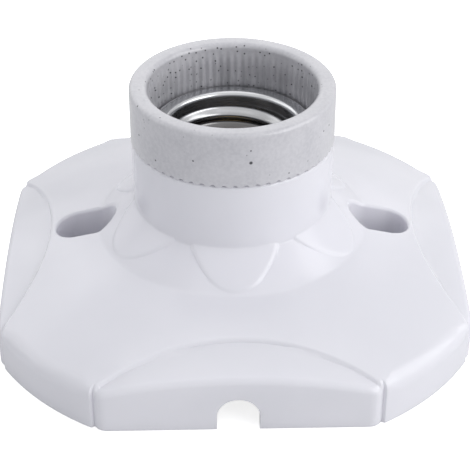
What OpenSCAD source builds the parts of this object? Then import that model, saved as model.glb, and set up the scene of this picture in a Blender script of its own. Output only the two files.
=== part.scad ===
// Batten lamp holder: a moulded base with a porcelain ring and a rolled screw shell.
// The underside lies on z = 0, the lamp goes in from above, and the cable notch faces -Y.

/* [Base] */
// Width of the base across its flat sides
flat_w = 96.4; // [92:0.2:99]
// Radius of the rounded corners of the base, about its centre
round_r = 55; // [54:0.2:57]
// Crown radius of the dome
dome_r = 175; // [150:5:220]
// Height of the dome where the neck's foot begins
dome_h = 17.45; // [16.5:0.1:19]
// Wall thickness of the moulding
wall = 2.2; // [1.8:0.1:2.6]
// Radius of the dome's outer edge
edge_r = 2.2; // [1.5:0.1:3]

/* [Side panels] */
// Radius of the arc that bounds each side panel
panel_arc_r = 51.3; // [49:0.2:54]
// Distance from the centre to the top of that arc
panel_reach = 38.45; // [38.2:0.1:39.5]
// Half width of a side panel at the outside
panel_half_w = 27.9; // [27:0.1:28.4]
// Step down from the dome to a side panel
panel_step = 0.6; // [0.3:0.1:0.9]
// Radius of a side panel's upright corners
panel_corner_r = 2.5; // [1.5:0.1:3.5]
// Radius of a side panel's top edge
panel_edge_r = 1.8; // [1:0.1:2.4]

/* [Neck] */
// Outer radius of the neck
neck_r = 20.85; // [20.4:0.05:21]
// Height of the neck's top
neck_top = 38.15; // [36:0.1:40]
// Wall thickness of the neck
neck_wall = 1.8; // [1.5:0.1:2.1]
// Radius of the neck's foot where it meets the dome
foot_r = 28.6; // [28:0.1:29.4]
// Height of the neck's foot where it meets the neck
foot_top = 23.35; // [22.5:0.05:24.5]

/* [Petals] */
// Number of petals round the neck's foot
petals = 6; // [6]
// Reach of a petal's tip from the centre
petal_reach = 28; // [27.4:0.1:28.2]
// Half length of the ellipse that a petal is part of
petal_long = 18; // [14:0.5:20]
// Half width of that ellipse
petal_wide = 10.3; // [9:0.1:10.8]
// How far a petal stands above the foot at the neck
petal_rise = 0.6; // [0.4:0.05:0.9]
// How far a petal stands above the foot at its tip
petal_tip_rise = 0.25; // [0.1:0.05:0.4]

/* [Fixing slots] */
// Distance between the centres of the two fixing slots
slot_spacing = 62.4; // [61.6:0.1:63]
// Width of the pocket that takes the screw's head
pocket_w = 9; // [8:0.1:9.4]
// Width of the slot for the screw's shank
slot_w = 4.5; // [4:0.1:5]
// How far a fixing screw can slide in its slot
slot_play = 3.9; // [3:0.1:4.6]
// Thickness of the pocket's floor
pocket_floor = 2.2; // [1.8:0.1:3]

/* [Cable notch] */
// Width of the cable notch
notch_w = 8.3; // [7:0.1:10]
// Height of the cable notch
notch_h = 7.4; // [6:0.1:8]

/* [Porcelain ring] */
// Outer radius of the ring
ring_r = 21; // [20.9:0.05:21.4]
// Height of the ring's rim above the underside of the base
ring_top = 49.9; // [48:0.1:52]
// Inner radius of the fluted wall
ring_bore_r = 17.3; // [17.2:0.05:17.5]
// Number of flutes inside the ring
flutes = 70; // [60:2:80]
// Depth of a flute
flute_depth = 0.35; // [0.2:0.05:0.5]
// Number of grip notches round the ring's lower edge
grips = 60; // [48:4:72]
// Height of a grip notch
grip_h = 0.6; // [0.4:0.1:1.2]
// Depth of a grip notch
grip_depth = 0.7; // [0.4:0.1:0.9]
// Length of the ring's spigot inside the neck
spigot_h = 7; // [6:0.5:8]

/* [Porcelain insert] */
// Outer radius of the insert
insert_r = 16.7; // [16.6:0.05:16.75]
// Thickness of the insert's collar
collar_t = 3.4; // [2.6:0.2:4]
// Radius of the insert's cup
cup_r = 14.3; // [14.2:0.05:14.4]
// Height of the insert's underside
insert_low = 14; // [13:0.1:15]
// Height of the top of the insert's floor
floor_top = 20.4; // [19.8:0.1:21]
// Thickness of the insert's floor
floor_t = 4.4; // [3.6:0.1:5]

/* [Screw shell] */
// Inner radius of the shell at the crest of its thread
thread_r = 13.5; // [13.4:0.05:13.6]
// Depth of the rolled thread
thread_depth = 1.3; // [1:0.05:1.5]
// Pitch of the rolled thread
pitch = 3.629; // [3.629]
// Thickness of the shell's sheet
sheet = 0.4; // [0.3:0.05:0.5]
// Height of the flange's top
flange_top = 40.4; // [40:0.1:41]
// Outer radius of the flange
flange_r = 16.1; // [15.6:0.05:16.4]

/* [Contacts] */
// Width of the centre contact
tongue_w = 5; // [4:0.2:6]
// Thickness of the centre contact
tongue_t = 0.5; // [0.4:0.05:0.6]
// Distance from the centre to the centre contact's rivet
tongue_root = 5.8; // [5.6:0.1:6]
// Height of the centre contact's crown over the floor
tongue_rise = 3.8; // [3:0.1:5]
// Shank radius of the rivets
rivet_r = 1.1; // [0.9:0.05:1.3]
// Distance from the centre to the shell's rivets
rivet_reach = 10.7; // [10.6:0.05:10.8]

/* [Terminals] */
// Thickness of a terminal plate
plate_t = 1.2; // [1:0.1:1.5]
// Width of a terminal plate
plate_w = 5.6; // [5:0.1:6.4]
// Distance of each clamp screw from both centre planes
clamp_xy = 6.5; // [6.2:0.1:6.8]
// Radius of a clamp screw's shank
clamp_r = 1.7; // [1.5:0.05:1.8]
// Radius of a clamp screw's head
clamp_head_r = 2.8; // [2.5:0.1:3]
// Height of a clamp screw's head
clamp_head_h = 1.9; // [1.6:0.1:2.2]
// Side of a clamp's square washer
washer_w = 6; // [5.6:0.1:6.4]

/* [Hidden] */
$fn = 96;

plastic = [0.9, 0.9, 0.93];
porcelain = [0.8, 0.8, 0.79];
plated = [0.78, 0.79, 0.8];
brass = [0.8, 0.66, 0.36];

// A cutter reaches this far past the face that it cuts
over = 1;
// Play of the ring's spigot in the neck, which is a running fit
spigot_play = 0.05;
// Gap between faces that bear on each other across a joint
seat_gap = 0.05;
// Gap between pieces that are slipped together
slip = 0.2;

half = flat_w/2;
crown_flat_r = 12;
crown_steps = 12;
edge_steps = 6;
dome_c = dome_h-sqrt(pow(dome_r, 2)-pow(foot_r, 2));
bore_r = neck_r-neck_wall;
ledge_t = 2;
ledge_r = 13.8;
guide_t = 1.2;
collar_top = neck_top-spigot_h-seat_gap;
collar_low = collar_top-collar_t;
collar_r = bore_r-slip;
tube_low = 10;
rib_t = 1.4;
sleeve_wall = 1.5;
slot_c = slot_spacing/2;

rim_round = 0.9;
mouth_round = 1.1;
mouth_r = ring_bore_r+0.06;
flute_top = ring_top-1.7;

floor_low = floor_top-floor_t;
recess_r = 14.6;
shank_hole_h = 3.2;

tongue_gap = 0.3;
tongue_z = floor_top+tongue_gap;
rivet_head_r = 1.45;
rivet_head_h = 0.7;
rivet_clear = 0.05;
centre_head_r = 1.9;

plate_low = floor_low-plate_t;
washer_t = 1.1;
washer_low = plate_low-washer_t;

// Half section under a crown that ends in a round outer edge
function crown_points(crown, reach, edge) = let (
        edge_x = reach-edge, edge_z = dome_c+sqrt(pow(crown-edge, 2)-pow(edge_x, 2)),
        inner = asin(crown_flat_r/crown), tilt = asin(edge_x/(crown-edge)))
    concat([[0, 0], [0, dome_c+crown*cos(inner)]],
        [for (i = [0:crown_steps]) let (a = inner+(tilt-inner)*i/crown_steps)
            [crown*sin(a), dome_c+crown*cos(a)]],
        [for (i = [1:edge_steps]) let (a = tilt+(90-tilt)*i/edge_steps)
            [edge_x+edge*sin(a), edge_z+edge*cos(a)]],
        [[reach, 0]]);

module crowned(crown, reach, edge) {
    rotate_extrude($fn = 180) polygon(crown_points(crown, reach, edge));
}

// Places its children at each of the four sides of the base
module each_side() {
    for (turn = [0:90:270]) rotate(turn) children();
}

// Disc whose rim is the arc between the dome and the front panel
module panel_disc(height, grow = 0) {
    translate([0, -panel_reach-panel_arc_r, -over]) cylinder(r = panel_arc_r+grow, h = height+over, $fn = 180);
}

// Upright block with round corners and a round top edge at the front
module panel_block(top) {
    depth = half-panel_reach+panel_edge_r;
    intersection() {
        linear_extrude(top) {
            translate([-panel_half_w, -half+panel_corner_r]) square([2*panel_half_w, depth]);
            translate([-panel_half_w+panel_corner_r, -half]) square([2*(panel_half_w-panel_corner_r), depth]);
            for (side = [-1, 1])
                translate([side*(panel_half_w-panel_corner_r), -half+panel_corner_r]) circle(r = panel_corner_r);
        }
        rotate([90, 0, 90]) linear_extrude(2*panel_half_w+2*over, center = true) {
            front_top = dome_c+sqrt(pow(dome_r-panel_step, 2)-pow(half, 2));
            square_z = front_top-panel_edge_r;
            translate([-half, 0]) square([depth, square_z]);
            translate([-half+panel_edge_r, 0]) square([depth, top]);
            translate([-half+panel_edge_r, square_z]) circle(r = panel_edge_r);
        }
    }
}

// The side panel that faces the front
module panel() {
    intersection() {
        crowned(dome_r-panel_step, round_r+edge_r, edge_r);
        panel_disc(dome_h);
        panel_block(dome_h);
    }
}

module foot() {
    slope = (foot_top-dome_h)/(foot_r-neck_r);
    drop = 2;
    translate([0, 0, dome_h-drop])
        cylinder(r1 = foot_r+drop/slope, r2 = neck_r, h = foot_top-dome_h+drop, $fn = 180);
}

// Outer half of a petal's ellipse, with its tip on +X
function petal_points() = [for (a = [-90:6:90])
    [petal_reach-petal_long+petal_long*cos(a), petal_wide*sin(a)]];

// Raised petals, each the part of a higher cone that stands inside an upright outline
module petal_ring() {
    low = dome_h-petal_rise;
    high = foot_top+petal_rise;
    intersection() {
        rotate_extrude($fn = 180)
            polygon([[0, low], [foot_r, low], [foot_r, dome_h+petal_tip_rise], [neck_r, high], [0, high]]);
        for (turn = [0:360/petals:359]) rotate(turn-90) translate([0, 0, low]) linear_extrude(high-low+over)
            polygon(petal_points());
    }
}

module outer_form() {
    difference() {
        crowned(dome_r, round_r, edge_r);
        each_side() panel_disc(dome_h);
    }
    each_side() panel();
    foot();
    petal_ring();
    cylinder(r = neck_r, h = neck_top, $fn = 180);
}

// Round-ended slot along X, centred on its fixing point
module slot_shape(width, play) {
    translate([slot_c, 0]) {
        square([play, width], center = true);
        for (side = [-1, 1]) translate([side*play/2, 0]) circle(d = width, $fn = 64);
    }
}

module both_ways() {
    for (turn = [0, 180]) rotate(turn) children();
}

// What is left standing inside the hollow of the base
module inner_walls() {
    translate([0, 0, tube_low]) cylinder(r = neck_r, h = foot_top-tube_low, $fn = 180);
    linear_extrude(foot_top) both_ways() slot_shape(pocket_w+2*sleeve_wall, slot_play);
    for (turn = [45:90:315]) rotate(turn) translate([neck_r-over, -rib_t/2, tube_low])
        cube([round_r-neck_r, rib_t, foot_top]);
}

module base_housing() color(plastic) {
    difference() {
        union() {
            difference() {
                outer_form();
                intersection() {
                    translate([0, 0, -over]) crowned(dome_r-wall+over, round_r-wall, edge_r);
                    translate([wall-half, wall-half, -over]) cube([flat_w-2*wall, flat_w-2*wall, foot_top]);
                }
            }
            intersection() {
                outer_form();
                inner_walls();
            }
        }
        translate([0, 0, insert_low]) cylinder(r = bore_r, h = neck_top, $fn = 180);
        translate([0, 0, -over]) cylinder(r = ledge_r, h = neck_top);
        translate([0, 0, -over]) cylinder(r = bore_r, h = insert_low-ledge_t+over, $fn = 180);
        translate([0, 0, pocket_floor]) linear_extrude(foot_top) both_ways() slot_shape(pocket_w, slot_play);
        translate([0, 0, -over]) linear_extrude(pocket_floor+2*over) both_ways() slot_shape(slot_w, slot_play);
        translate([0, wall-half+over, 0]) rotate([90, 0, 0]) {
            translate([-notch_w/2, -over, 0]) cube([notch_w, notch_h-notch_w/2+over, wall+2*over]);
            translate([0, notch_h-notch_w/2, 0]) cylinder(d = notch_w, h = wall+2*over);
        }
    }
    for (turn = [30:60:330]) rotate(turn) translate([insert_r+slip, -guide_t/2, insert_low-ledge_t/2])
        cube([bore_r-insert_r-slip+neck_wall/2, guide_t, collar_low-seat_gap-insert_low+ledge_t/2]);
}

// Fluted outline of the ring's inner wall, as a share of its full radius
function flute_points(r) = [for (i = [0:4*flutes-1]) let (a = 360*i/(4*flutes), low = (i%4 == 1 || i%4 == 2))
    (r-(low ? 0 : flute_depth))*[cos(a), sin(a)]];

module porcelain_ring() color(porcelain) {
    bottom = neck_top+seat_gap;
    spigot_r = bore_r-spigot_play;
    difference() {
        rotate_extrude($fn = 180) {
            translate([0, bottom]) square([ring_r, ring_top-rim_round-bottom]);
            translate([0, bottom]) square([ring_r-rim_round, ring_top-bottom]);
            translate([ring_r-rim_round, ring_top-rim_round]) circle(r = rim_round, $fn = 32);
            translate([0, neck_top-spigot_h]) square([spigot_r, spigot_h+over]);
        }
        translate([0, 0, neck_top-spigot_h-over]) linear_extrude(flute_top-neck_top+spigot_h+over)
            polygon(flute_points(ring_bore_r));
        rotate_extrude($fn = 180) difference() {
            translate([0, flute_top-0.1]) square([mouth_r+mouth_round, ring_top-flute_top+over]);
            translate([mouth_r+mouth_round, ring_top-mouth_round]) circle(r = mouth_round, $fn = 32);
            translate([mouth_r, flute_top-over]) square([2*mouth_round, ring_top-mouth_round-flute_top+over]);
        }
        translate([0, 0, bottom-over]) linear_extrude(grip_h+over) for (i = [0:grips-1])
            rotate(360*i/grips) translate([ring_r-grip_depth, -PI*ring_r/grips/2])
                square([grip_depth+over, PI*ring_r/grips]);
    }
}

module rivet_hole(r, low, high) {
    translate([0, 0, low]) cylinder(r = r, h = high-low, $fn = 32);
}

module at_shell_rivets() {
    for (side = [-1, 1]) translate([side*rivet_reach, 0]) children();
}

module porcelain_insert() color(porcelain) {
    top = flange_top-sheet;
    difference() {
        union() {
            translate([0, 0, insert_low]) cylinder(r = insert_r, h = top-insert_low, $fn = 180);
            translate([0, 0, collar_low]) cylinder(r = collar_r, h = collar_t, $fn = 180);
        }
        translate([0, 0, floor_top]) cylinder(r = cup_r, h = top, $fn = 180);
        translate([0, 0, insert_low-over]) cylinder(r = recess_r, h = floor_low-insert_low+over);
        translate([0, tongue_root]) rivet_hole(rivet_r+rivet_clear, floor_low-over, floor_top+over);
        at_shell_rivets() rivet_hole(rivet_r+rivet_clear, floor_low-over, floor_top+over);
        for (side = [-1, 1]) translate([side*clamp_xy, -clamp_xy])
            rivet_hole(clamp_r+2*slip, floor_low-over, floor_low+shank_hole_h);
    }
}

// Radius of the rolled sheet's inner face at a height and an angle
function roll(z, a) = let (
        low = floor_top+2.2, high = flange_top-1.5, ramp = 1.2,
        fade = min(1, max(0, (z-low)/ramp), max(0, (high+ramp-z)/ramp)))
    thread_r-thread_depth*fade*(1-cos(360*z/pitch-a))/2;

shell_steps = 26;
shell_sides = 40;
shell_floor_r = 9.2;
// Heights of the barrel's rows, from the top down
function barrel_z(i) = flange_top-1.2-(flange_top-floor_top-2.6)*i/shell_steps;

// One closed section of the shell: down its inner face and back up its outer face
function shell_section(a) = concat(
    [[flange_r, flange_top], [thread_r+1, flange_top], [thread_r+0.35, flange_top-0.2],
        [thread_r, flange_top-0.7]],
    [for (i = [0:shell_steps]) [roll(barrel_z(i), a), barrel_z(i)]],
    [[thread_r-0.2, floor_top+0.8], [thread_r-0.9, floor_top+sheet], [shell_floor_r, floor_top+sheet],
        [shell_floor_r, floor_top], [thread_r-0.75, floor_top], [thread_r+sheet/2, floor_top+0.65]],
    [for (i = [shell_steps:-1:0]) [roll(barrel_z(i), a)+sheet, barrel_z(i)]],
    [[thread_r+sheet, flange_top-0.8], [thread_r+sheet+0.25, flange_top-sheet-0.1],
        [thread_r+sheet+0.7, flange_top-sheet], [flange_r, flange_top-sheet]]);

module screw_shell() color(plated) {
    sections = [for (k = [0:shell_sides-1]) let (a = 360*k/shell_sides)
        [for (p = shell_section(a)) [p[0]*cos(a), p[0]*sin(a), p[1]]]];
    rows = len(sections[0]);
    difference() {
        polyhedron(
            points = [for (s = sections) for (p = s) p],
            faces = [for (k = [0:shell_sides-1]) for (j = [0:rows-1]) for (half_quad = [0, 1]) let (
                    k1 = (k+1)%shell_sides, j1 = (j+1)%rows,
                    a = k*rows+j, b = k*rows+j1, c = k1*rows+j1, d = k1*rows+j)
                half_quad == 0 ? [a, c, b] : [a, d, c]],
            convexity = 8);
        at_shell_rivets() rivet_hole(rivet_r+rivet_clear, floor_top-over, floor_top+over);
    }
}

// Bent strip seen from the side: a flat foot, a rise and a rounded crown over the centre
function tongue_line() = [
    [tongue_root+1.9, 0], [tongue_root-1.9, 0], [tongue_root-2.9, 0.45], [2.6, tongue_rise-tongue_gap-1.1],
    [1.5, tongue_rise-tongue_gap-0.25], [0.4, tongue_rise-tongue_gap], [-0.9, tongue_rise-tongue_gap-0.15],
    [-2, tongue_rise-tongue_gap-0.9], [-2.5, tongue_rise-tongue_gap-1.9]];

// Offsets a line of points to one side by a distance
function beside(line, distance) = [for (i = [0:len(line)-1]) let (
        before = line[max(i-1, 0)], after = line[min(i+1, len(line)-1)],
        along = (after-before)/norm(after-before))
    line[i]+distance*[along[1], -along[0]]];

module centre_contact() color(brass) {
    line = tongue_line();
    top = beside(line, tongue_t);
    difference() {
        translate([0, 0, tongue_z]) rotate([90, 0, 90]) linear_extrude(tongue_w, center = true)
            polygon(concat(line, [for (i = [len(top)-1:-1:0]) top[i]]));
        translate([0, tongue_root]) rivet_hole(rivet_r+tongue_gap, floor_top, floor_top+tongue_rise);
    }
}

// Rivet with a formed head at each end of what it holds
module rivet(low, high, head) {
    translate([0, 0, low]) cylinder(r = rivet_r, h = high-low, $fn = 32);
    translate([0, 0, high]) cylinder(r1 = head, r2 = head*0.7, h = rivet_head_h, $fn = 32);
    translate([0, 0, low-rivet_head_h]) cylinder(r1 = head*0.7, r2 = head, h = rivet_head_h, $fn = 32);
}

module centre_rivet() color(brass)
    translate([0, tongue_root]) rivet(plate_low, tongue_z+tongue_t+tongue_gap, centre_head_r);

module shell_rivet_left() color(brass)
    translate([-rivet_reach, 0]) rivet(floor_low, floor_top+sheet, rivet_head_r);

module shell_rivet_right() color(brass)
    translate([rivet_reach, 0]) rivet(plate_low, floor_top+sheet, rivet_head_r);

// Flat strap between two eyes
module strap(from, to, eye_from) {
    run = to-from;
    linear_extrude(plate_t) {
        translate(from) circle(d = eye_from, $fn = 48);
        translate(to) circle(d = plate_w+0.6, $fn = 48);
        translate(from) rotate(atan2(run[1], run[0])) translate([0, -plate_w/2+0.4]) square([norm(run), plate_w-0.8]);
    }
}

module terminal(from, side, eye_from) {
    to = [side*clamp_xy, -clamp_xy];
    difference() {
        translate([0, 0, plate_low]) strap(from, to, eye_from);
        translate(from) rivet_hole(rivet_r+rivet_clear, plate_low-over, floor_low+over);
        translate(to) rivet_hole(clamp_r+rivet_clear, plate_low-over, floor_low+over);
    }
}

module live_terminal() color(brass) terminal([0, tongue_root], -1, plate_w);

module neutral_terminal() color(brass) terminal([rivet_reach, 0], 1, plate_w);

// Slotted pan-head screw, head down
module clamp_screw(side) {
    head_top = washer_low;
    slot_depth = 0.9;
    slot_width = 0.8;
    translate([side*clamp_xy, -clamp_xy]) difference() {
        union() {
            translate([0, 0, head_top]) cylinder(r = clamp_r, h = floor_low+shank_hole_h-0.5-head_top, $fn = 32);
            translate([0, 0, head_top-clamp_head_h+0.5]) cylinder(r = clamp_head_r, h = clamp_head_h-0.5, $fn = 48);
            translate([0, 0, head_top-clamp_head_h])
                cylinder(r1 = clamp_head_r-0.5, r2 = clamp_head_r, h = 0.5, $fn = 48);
        }
        translate([-clamp_head_r-over, -slot_width/2, head_top-clamp_head_h-over])
            cube([2*(clamp_head_r+over), slot_width, slot_depth+over]);
    }
}

module live_clamp_screw() color(plated) clamp_screw(-1);

module neutral_clamp_screw() color(plated) clamp_screw(1);

// Square washer that presses the wire on the plate
module clamp_washer(side) {
    translate([side*clamp_xy, -clamp_xy, washer_low]) difference() {
        translate([-washer_w/2, -washer_w/2]) cube([washer_w, washer_w, washer_t]);
        translate([0, 0, -over]) cylinder(r = clamp_r+rivet_clear, h = washer_t+2*over, $fn = 32);
    }
}

module live_clamp_washer() color(plated) clamp_washer(-1);

module neutral_clamp_washer() color(plated) clamp_washer(1);

base_housing();
porcelain_ring();
porcelain_insert();
screw_shell();
centre_contact();
centre_rivet();
shell_rivet_left();
shell_rivet_right();
live_terminal();
neutral_terminal();
live_clamp_screw();
neutral_clamp_screw();
live_clamp_washer();
neutral_clamp_washer();
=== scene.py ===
"""Batten lamp holder: the dressed model and its studio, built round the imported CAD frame.

The housing, the porcelain ring and the screw shell are surfaces worked out with numpy. Every
other piece is the CAD node itself with a finish of its own. Sizes are in millimetres in the
classes and in metres in the meshes. The base's underside lies on z = 0, the lamp's axis is +Z
and the cable notch faces -Y.
"""
from __future__ import annotations

import logging
import math
from dataclasses import dataclass
from enum import Enum
from typing import Iterable, Sequence

import bpy
import numpy as np
from mathutils import Matrix, Vector

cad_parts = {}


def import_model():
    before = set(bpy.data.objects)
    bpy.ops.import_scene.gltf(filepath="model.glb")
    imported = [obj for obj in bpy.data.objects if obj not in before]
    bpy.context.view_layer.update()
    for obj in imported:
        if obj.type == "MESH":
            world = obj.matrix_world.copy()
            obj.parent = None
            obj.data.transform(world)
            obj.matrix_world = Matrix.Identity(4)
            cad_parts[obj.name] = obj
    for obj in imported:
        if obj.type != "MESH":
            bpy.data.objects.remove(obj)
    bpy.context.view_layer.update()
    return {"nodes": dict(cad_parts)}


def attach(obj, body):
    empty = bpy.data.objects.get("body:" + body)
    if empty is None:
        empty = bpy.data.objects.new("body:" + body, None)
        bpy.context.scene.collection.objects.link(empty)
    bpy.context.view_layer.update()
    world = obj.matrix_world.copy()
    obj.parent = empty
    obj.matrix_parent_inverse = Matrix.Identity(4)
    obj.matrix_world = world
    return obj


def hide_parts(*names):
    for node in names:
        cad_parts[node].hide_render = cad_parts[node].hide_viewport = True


log = logging.getLogger("lamp_holder")

MM = 0.001
FULL_TURN = 2 * math.pi
WHITE = (1.0, 1.0, 1.0, 1.0)
OUT_OF_REACH = 1e3

Rgb = tuple[float, float, float]
Row = tuple[float | np.ndarray, float | np.ndarray]
Socket = bpy.types.NodeSocket


# Meshes: closed surfaces made of grids of points.


class Closing(Enum):
    """How a grid of points closes on itself."""

    BOTH = "both"
    COLUMNS = "columns"


class Boolean(Enum):
    """What is done to a body with another one."""

    JOIN = "UNION"
    CUT = "DIFFERENCE"


def grid_faces(rows: int, columns: int, closing: Closing) -> np.ndarray:
    """Quads between neighbouring points of a grid stored row by row.

    Quad (i, j) joins points (i, j), (i, j+1), (i+1, j+1) and (i+1, j), each index taken round
    the grid where it closes.

    Args:
        rows: number of rows.
        columns: number of points in a row.
        closing: whether the rows close too, or only the columns.

    Returns:
        An array of four point numbers for each quad.
    """
    last = rows if closing is Closing.BOTH else rows - 1
    i, j = np.meshgrid(np.arange(last), np.arange(columns), indexing="ij")
    i2, j2 = (i + 1) % rows, (j + 1) % columns
    quads = [i * columns + j, i * columns + j2, i2 * columns + j2, i2 * columns + j]
    return np.stack(quads, -1).reshape(-1, 4)


def signed_volume(points: np.ndarray, quads: np.ndarray) -> float:
    """Volume inside quads, by the sum of a . (b x c) / 6 over their triangles.

    Args:
        points: one point in a row.
        quads: four point numbers in a row.

    Returns:
        The volume, negative where the faces point inwards.
    """
    a, b, c, d = (points[quads[:, k]] for k in range(4))
    first = np.einsum("ij,ij->i", a, np.cross(b, c)).sum()
    second = np.einsum("ij,ij->i", a, np.cross(c, d)).sum()
    return float(first + second) / 6


@dataclass
class Shell:
    """One closed surface of quads and end polygons, in millimetres."""

    points: np.ndarray
    quads: np.ndarray
    ends: tuple[tuple[int, ...], ...] = ()

    def turned(self, matrix: np.ndarray) -> Shell:
        """The surface with its points multiplied by a rotation matrix."""
        return Shell(self.points @ matrix, self.quads, self.ends)

    def outward(self) -> Shell:
        """Turns the faces outwards, where they point inwards.

        Returns:
            The same surface, or one with its faces reversed.
        """
        fans = [(e[0], e[k], e[k + 1], e[k + 1]) for e in self.ends for k in range(1, len(e) - 1)]
        quads = np.vstack([self.quads, np.array(fans, int).reshape(-1, 4)])
        if signed_volume(self.points, quads) >= 0:
            return self
        return Shell(self.points, self.quads[:, ::-1], tuple(tuple(reversed(e)) for e in self.ends))


def ring_shell(grid: np.ndarray) -> Shell:
    """A closed section carried round a closed path: grid[row, column] closes both ways."""
    return Shell(grid.reshape(-1, 3), grid_faces(*grid.shape[:2], Closing.BOTH)).outward()


def capped_shell(grid: np.ndarray) -> Shell:
    """A tube of closed rows, its two ends closed by one polygon each.

    Args:
        grid: points by row and column.

    Returns:
        The closed surface.
    """
    rows, columns = grid.shape[:2]
    first = tuple(range(columns - 1, -1, -1))
    last = tuple(range((rows - 1) * columns, rows * columns))
    return Shell(grid.reshape(-1, 3), grid_faces(rows, columns, Closing.COLUMNS),
                 (first, last)).outward()


def prism(plan: np.ndarray, low: float | np.ndarray, high: float | np.ndarray) -> Shell:
    """An upright prism: the plan repeated at a lower and an upper height.

    Args:
        plan: (x, y) of each corner.
        low: the lower height, one for all corners or one for each.
        high: the upper height, likewise.

    Returns:
        The closed surface.
    """
    grid = np.empty((2, len(plan), 3))
    grid[:, :, :2] = plan
    grid[0, :, 2], grid[1, :, 2] = low, high
    return capped_shell(grid)


def arc(centre: Sequence[float], radius: float, degrees: np.ndarray) -> np.ndarray:
    """Points of a circle's arc: centre plus radius times (cos a, sin a)."""
    a = np.radians(degrees)
    return np.stack([centre[0] + radius * np.cos(a), centre[1] + radius * np.sin(a)], -1)


def rounded(r: float | np.ndarray, z: float, dr: float, dz: float,
            degrees: Iterable[float]) -> list[Row]:
    """Rows round the corner (r, z): radius r + dr (1 - cos t), height z + dz (1 - sin t)."""
    return [(r + dr * (1 - math.cos(t)), z + dz * (1 - math.sin(t)))
            for t in np.radians(list(degrees))]


def revolved(rows: Sequence[Row], a: np.ndarray) -> np.ndarray:
    """Carries rows (r, z) round the axis: points (r cos a, r sin a, z), by row and angle."""
    c, s = np.cos(a), np.sin(a)
    return np.stack([np.stack([r * c, r * s, z + 0 * a], -1) for r, z in rows])


def smooth(mesh: bpy.types.Mesh, crease_deg: float) -> None:
    """Shades a mesh smooth, apart from edges sharper than the crease angle."""
    mesh.shade_smooth()
    mesh.set_sharp_from_angle(angle=math.radians(crease_deg))


def mesh_object(name: str, shells: Sequence[Shell], crease_deg: float = 32.0) -> bpy.types.Object:
    """Makes one object of closed shells, in metres, with smooth shading between its creases.

    Args:
        name: the object's name.
        shells: surfaces in millimetres.
        crease_deg: an edge whose faces meet at a larger angle stays sharp.

    Returns:
        The object, at the origin.
    """
    points, faces, start = [], [], 0
    for shell in shells:
        points.append(shell.points)
        faces += [tuple(q) for q in (shell.quads + start).tolist()]
        faces += [tuple(k + start for k in end) for end in shell.ends]
        start += len(shell.points)
    mesh = bpy.data.meshes.new(name)
    mesh.from_pydata((np.vstack(points) * MM).tolist(), [], faces)
    mesh.validate()
    mesh.update()
    body = bpy.data.objects.new(name, mesh)
    bpy.context.scene.collection.objects.link(body)
    smooth(mesh, crease_deg)
    return body


def combine(body: bpy.types.Object, shells: Sequence[Shell], operation: Boolean,
            crease_deg: float = 32.0) -> None:
    """Joins shells with a body, or cuts them out of it.

    Args:
        body: the object that is changed.
        shells: what is joined or cut out.
        operation: which of the two.
        crease_deg: an edge whose faces meet at a larger angle stays sharp.
    """
    other = mesh_object("tool", shells)
    step = body.modifiers.new("step", "BOOLEAN")
    step.operation = operation.value
    step.solver = "EXACT"
    step.object = other
    depsgraph = bpy.context.evaluated_depsgraph_get()
    result = bpy.data.meshes.new_from_object(body.evaluated_get(depsgraph))
    body.modifiers.clear()
    old, spare = body.data, other.data
    body.data = result
    result.name = body.name
    bpy.data.objects.remove(other)
    for mesh in (old, spare):
        bpy.data.meshes.remove(mesh)
    smooth(result, crease_deg)


# Finishes: procedural materials laid out from object coordinates.


def rgba(colour: Rgb) -> tuple[float, float, float, float]:
    """A linear colour with full alpha."""
    return (*colour, 1.0)


class Graph:
    """A shader node tree, with short ways to add nodes and to link them."""

    def __init__(self, tree: bpy.types.NodeTree) -> None:
        """Keeps the tree."""
        self.tree = tree

    def add(self, kind: str, inputs: dict | None = None, **settings: object) -> bpy.types.Node:
        """Adds a node.

        Args:
            kind: the node's type, without its ShaderNode prefix.
            inputs: socket name or number to a value or to another node's output.
            settings: the node's own properties.

        Returns:
            The node.
        """
        node = self.tree.nodes.new("ShaderNode" + kind)
        for key, value in settings.items():
            setattr(node, key, value)
        for key, value in (inputs or {}).items():
            self.put(node.inputs[key], value)
        return node

    def put(self, socket: Socket, value: object) -> None:
        """Sets a socket, or links another node's output to it.

        Args:
            socket: an input.
            value: its value, or an output.
        """
        if isinstance(value, Socket):
            self.tree.links.new(value, socket)
        else:
            socket.default_value = value

    def math(self, operation: str, a: object, b: object = 0.0) -> Socket:
        """One arithmetic step."""
        return self.add("Math", {0: a, 1: b}, operation=operation).outputs[0]

    def blend(self, share: object, a: Socket, b: Socket) -> Socket:
        """Mixes two shaders."""
        return self.add("MixShader", {0: share, 1: a, 2: b}).outputs[0]


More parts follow.
